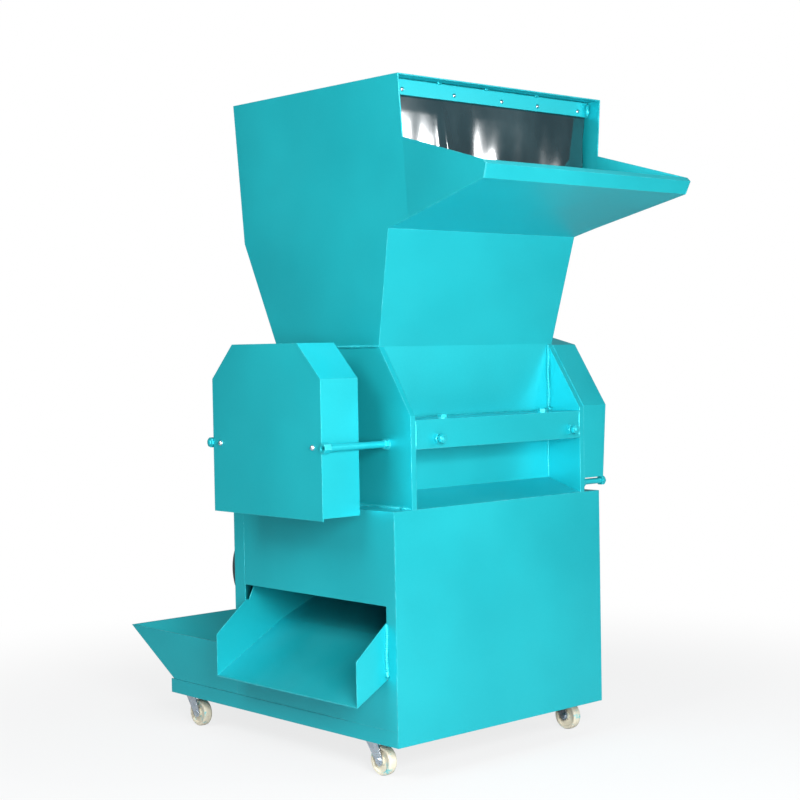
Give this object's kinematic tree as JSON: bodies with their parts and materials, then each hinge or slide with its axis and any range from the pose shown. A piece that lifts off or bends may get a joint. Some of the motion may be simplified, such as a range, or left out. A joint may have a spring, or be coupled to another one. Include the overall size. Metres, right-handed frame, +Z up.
{
  "type": "plastic_granulator",
  "caption": "Plastic granulator on four casters: feed tray and hopper with a curtain, knife rotor between side plates, belt drive, screen and side discharge chute.",
  "frame": {"origin": "On the floor, under the centre of the machine's bounding box", "axes": "X across the machine with the flywheel on -X, -Y is the feeding side, +Z up"},
  "size_m": [1.046, 1.491, 1.713],
  "materials": {
    "teal_paint": "gloss",
    "bare_steel": "ground",
    "zinc": "bright zinc",
    "dark_iron": "as cast, oiled",
    "curtain_sheet": "gloss, flexible",
    "belt_rubber": "matte",
    "motor_paint": "satin",
    "box_paint": "satin",
    "black_plastic": "matte",
    "green_plastic": "gloss",
    "red_plastic": "gloss",
    "cream_plastic": "satin"
  },
  "bodies": {
    "machine": {"base_frame": "teal_paint", "base_front_panel": "teal_paint", "base_left_panel": "teal_paint", "base_right_panel": "teal_paint", "base_rear_panel": "teal_paint", "base_top_plate": "teal_paint", "discharge_chute": "teal_paint", "rear_trough": "teal_paint", "left_side_plate": "teal_paint", "right_side_plate": "teal_paint", "front_apron": "teal_paint", "rear_wall": "teal_paint", "front_knife_beam": "teal_paint", "rear_knife_beam": "teal_paint", "fixed_knives": "bare_steel", "knife_bolts": "teal_paint", "hopper_shell": "teal_paint", "feed_tray": "teal_paint", "curtain_clamp": "teal_paint", "curtain_screws": "zinc", "bearing_housings": "teal_paint", "cradle_pins": "bare_steel", "flywheel_guard": "teal_paint", "guard_rods": "teal_paint", "guard_bushes": "teal_paint", "guard_bolts": "zinc", "belt_guard": "teal_paint", "rear_belt_guard": "teal_paint", "motor_body": "motor_paint", "motor_fan_cowl": "motor_paint", "motor_terminal_box": "motor_paint", "motor_bracket": "teal_paint", "v_belts": "belt_rubber", "control_box": "box_paint", "cable_gland": "black_plastic", "caster_plates": "zinc"},
    "rotor": {"rotor_shaft": "bare_steel", "rotor_discs": "dark_iron", "rotor_knives": "bare_steel", "rotor_knife_bolts": "dark_iron", "flywheel": "dark_iron", "rotor_pulley": "dark_iron"},
    "motor_rotor": {"motor_shaft": "bare_steel", "motor_pulley": "dark_iron"},
    "curtain_body": {"curtain": "curtain_sheet"},
    "cradle": {"screen_cradle": "teal_paint", "screen": "bare_steel"},
    "door": {"box_door": "box_paint"},
    "start_body": {"start_button": "green_plastic"},
    "stop_body": {"stop_button": "red_plastic"},
    "estop_body": {"emergency_stop": "red_plastic"},
    "isolator_body": {"isolator_knob": "black_plastic"},
    "front_left_swivel": {"front_left_fork": "zinc"},
    "front_left_roller": {"front_left_wheel": "cream_plastic"},
    "front_right_swivel": {"front_right_fork": "zinc"},
    "front_right_roller": {"front_right_wheel": "cream_plastic"},
    "rear_left_swivel": {"rear_left_fork": "zinc"},
    "rear_left_roller": {"rear_left_wheel": "cream_plastic"},
    "rear_right_swivel": {"rear_right_fork": "zinc"},
    "rear_right_roller": {"rear_right_wheel": "cream_plastic"}
  },
  "joints": [
    {"name": "rotor_spin", "type": "hinge", "parent": "machine", "child": "rotor", "pos_m": [0, -0.0995, 0.862], "axis": [1, 0, 0], "continuous": true},
    {"name": "motor_spin", "type": "hinge", "parent": "machine", "child": "motor_rotor", "pos_m": [0, 0.3595, 0.43], "axis": [1, 0, 0], "continuous": true},
    {"name": "curtain_swing", "type": "hinge", "parent": "machine", "child": "curtain_body", "pos_m": [0, -0.406, 1.67], "axis": [1, 0, 0], "range_deg": [-25, 55]},
    {"name": "cradle_drop", "type": "hinge", "parent": "machine", "child": "cradle", "pos_m": [0, 0.0795, 0.77], "axis": [1, 0, 0], "range_deg": [0, 30]},
    {"name": "door_hinge", "type": "hinge", "parent": "machine", "child": "door", "pos_m": [0.486, -0.2458, 0.4], "axis": [0, 0, 1], "range_deg": [-110, 0]},
    {"name": "start_press", "type": "slide", "parent": "door", "child": "start_body", "axis": [-1, 0, 0], "range_m": [0, 0.003], "stiffness_N_per_m": 600},
    {"name": "stop_press", "type": "slide", "parent": "door", "child": "stop_body", "axis": [-1, 0, 0], "range_m": [0, 0.003], "stiffness_N_per_m": 600},
    {"name": "estop_press", "type": "slide", "parent": "door", "child": "estop_body", "axis": [-1, 0, 0], "range_m": [0, 0.005]},
    {"name": "isolator_turn", "type": "hinge", "parent": "door", "child": "isolator_body", "pos_m": [0.494, -0.0585, 0.358], "axis": [1, 0, 0], "range_deg": [0, 90]},
    {"name": "front_left_turn", "type": "hinge", "parent": "machine", "child": "front_left_swivel", "pos_m": [-0.34, -0.2985, 0.088], "axis": [0, 0, 1], "continuous": true},
    {"name": "front_left_roll", "type": "hinge", "parent": "front_left_swivel", "child": "front_left_roller", "pos_m": [-0.34, -0.3265, 0.0375], "axis": [1, 0, 0], "continuous": true},
    {"name": "front_right_turn", "type": "hinge", "parent": "machine", "child": "front_right_swivel", "pos_m": [0.34, -0.2985, 0.088], "axis": [0, 0, 1], "continuous": true},
    {"name": "front_right_roll", "type": "hinge", "parent": "front_right_swivel", "child": "front_right_roller", "pos_m": [0.34, -0.3265, 0.0375], "axis": [1, 0, 0], "continuous": true},
    {"name": "rear_left_turn", "type": "hinge", "parent": "machine", "child": "rear_left_swivel", "pos_m": [-0.34, 0.4795, 0.088], "axis": [0, 0, 1], "continuous": true},
    {"name": "rear_left_roll", "type": "hinge", "parent": "rear_left_swivel", "child": "rear_left_roller", "pos_m": [-0.34, 0.4515, 0.0375], "axis": [1, 0, 0], "continuous": true},
    {"name": "rear_right_turn", "type": "hinge", "parent": "machine", "child": "rear_right_swivel", "pos_m": [0.34, 0.4795, 0.088], "axis": [0, 0, 1], "continuous": true},
    {"name": "rear_right_roll", "type": "hinge", "parent": "rear_right_swivel", "child": "rear_right_roller", "pos_m": [0.34, 0.4515, 0.0375], "axis": [1, 0, 0], "continuous": true}
  ],
  "couplings": [
    {"joint": "motor_spin", "follows": "rotor_spin", "ratio": 2.5833}
  ]
}
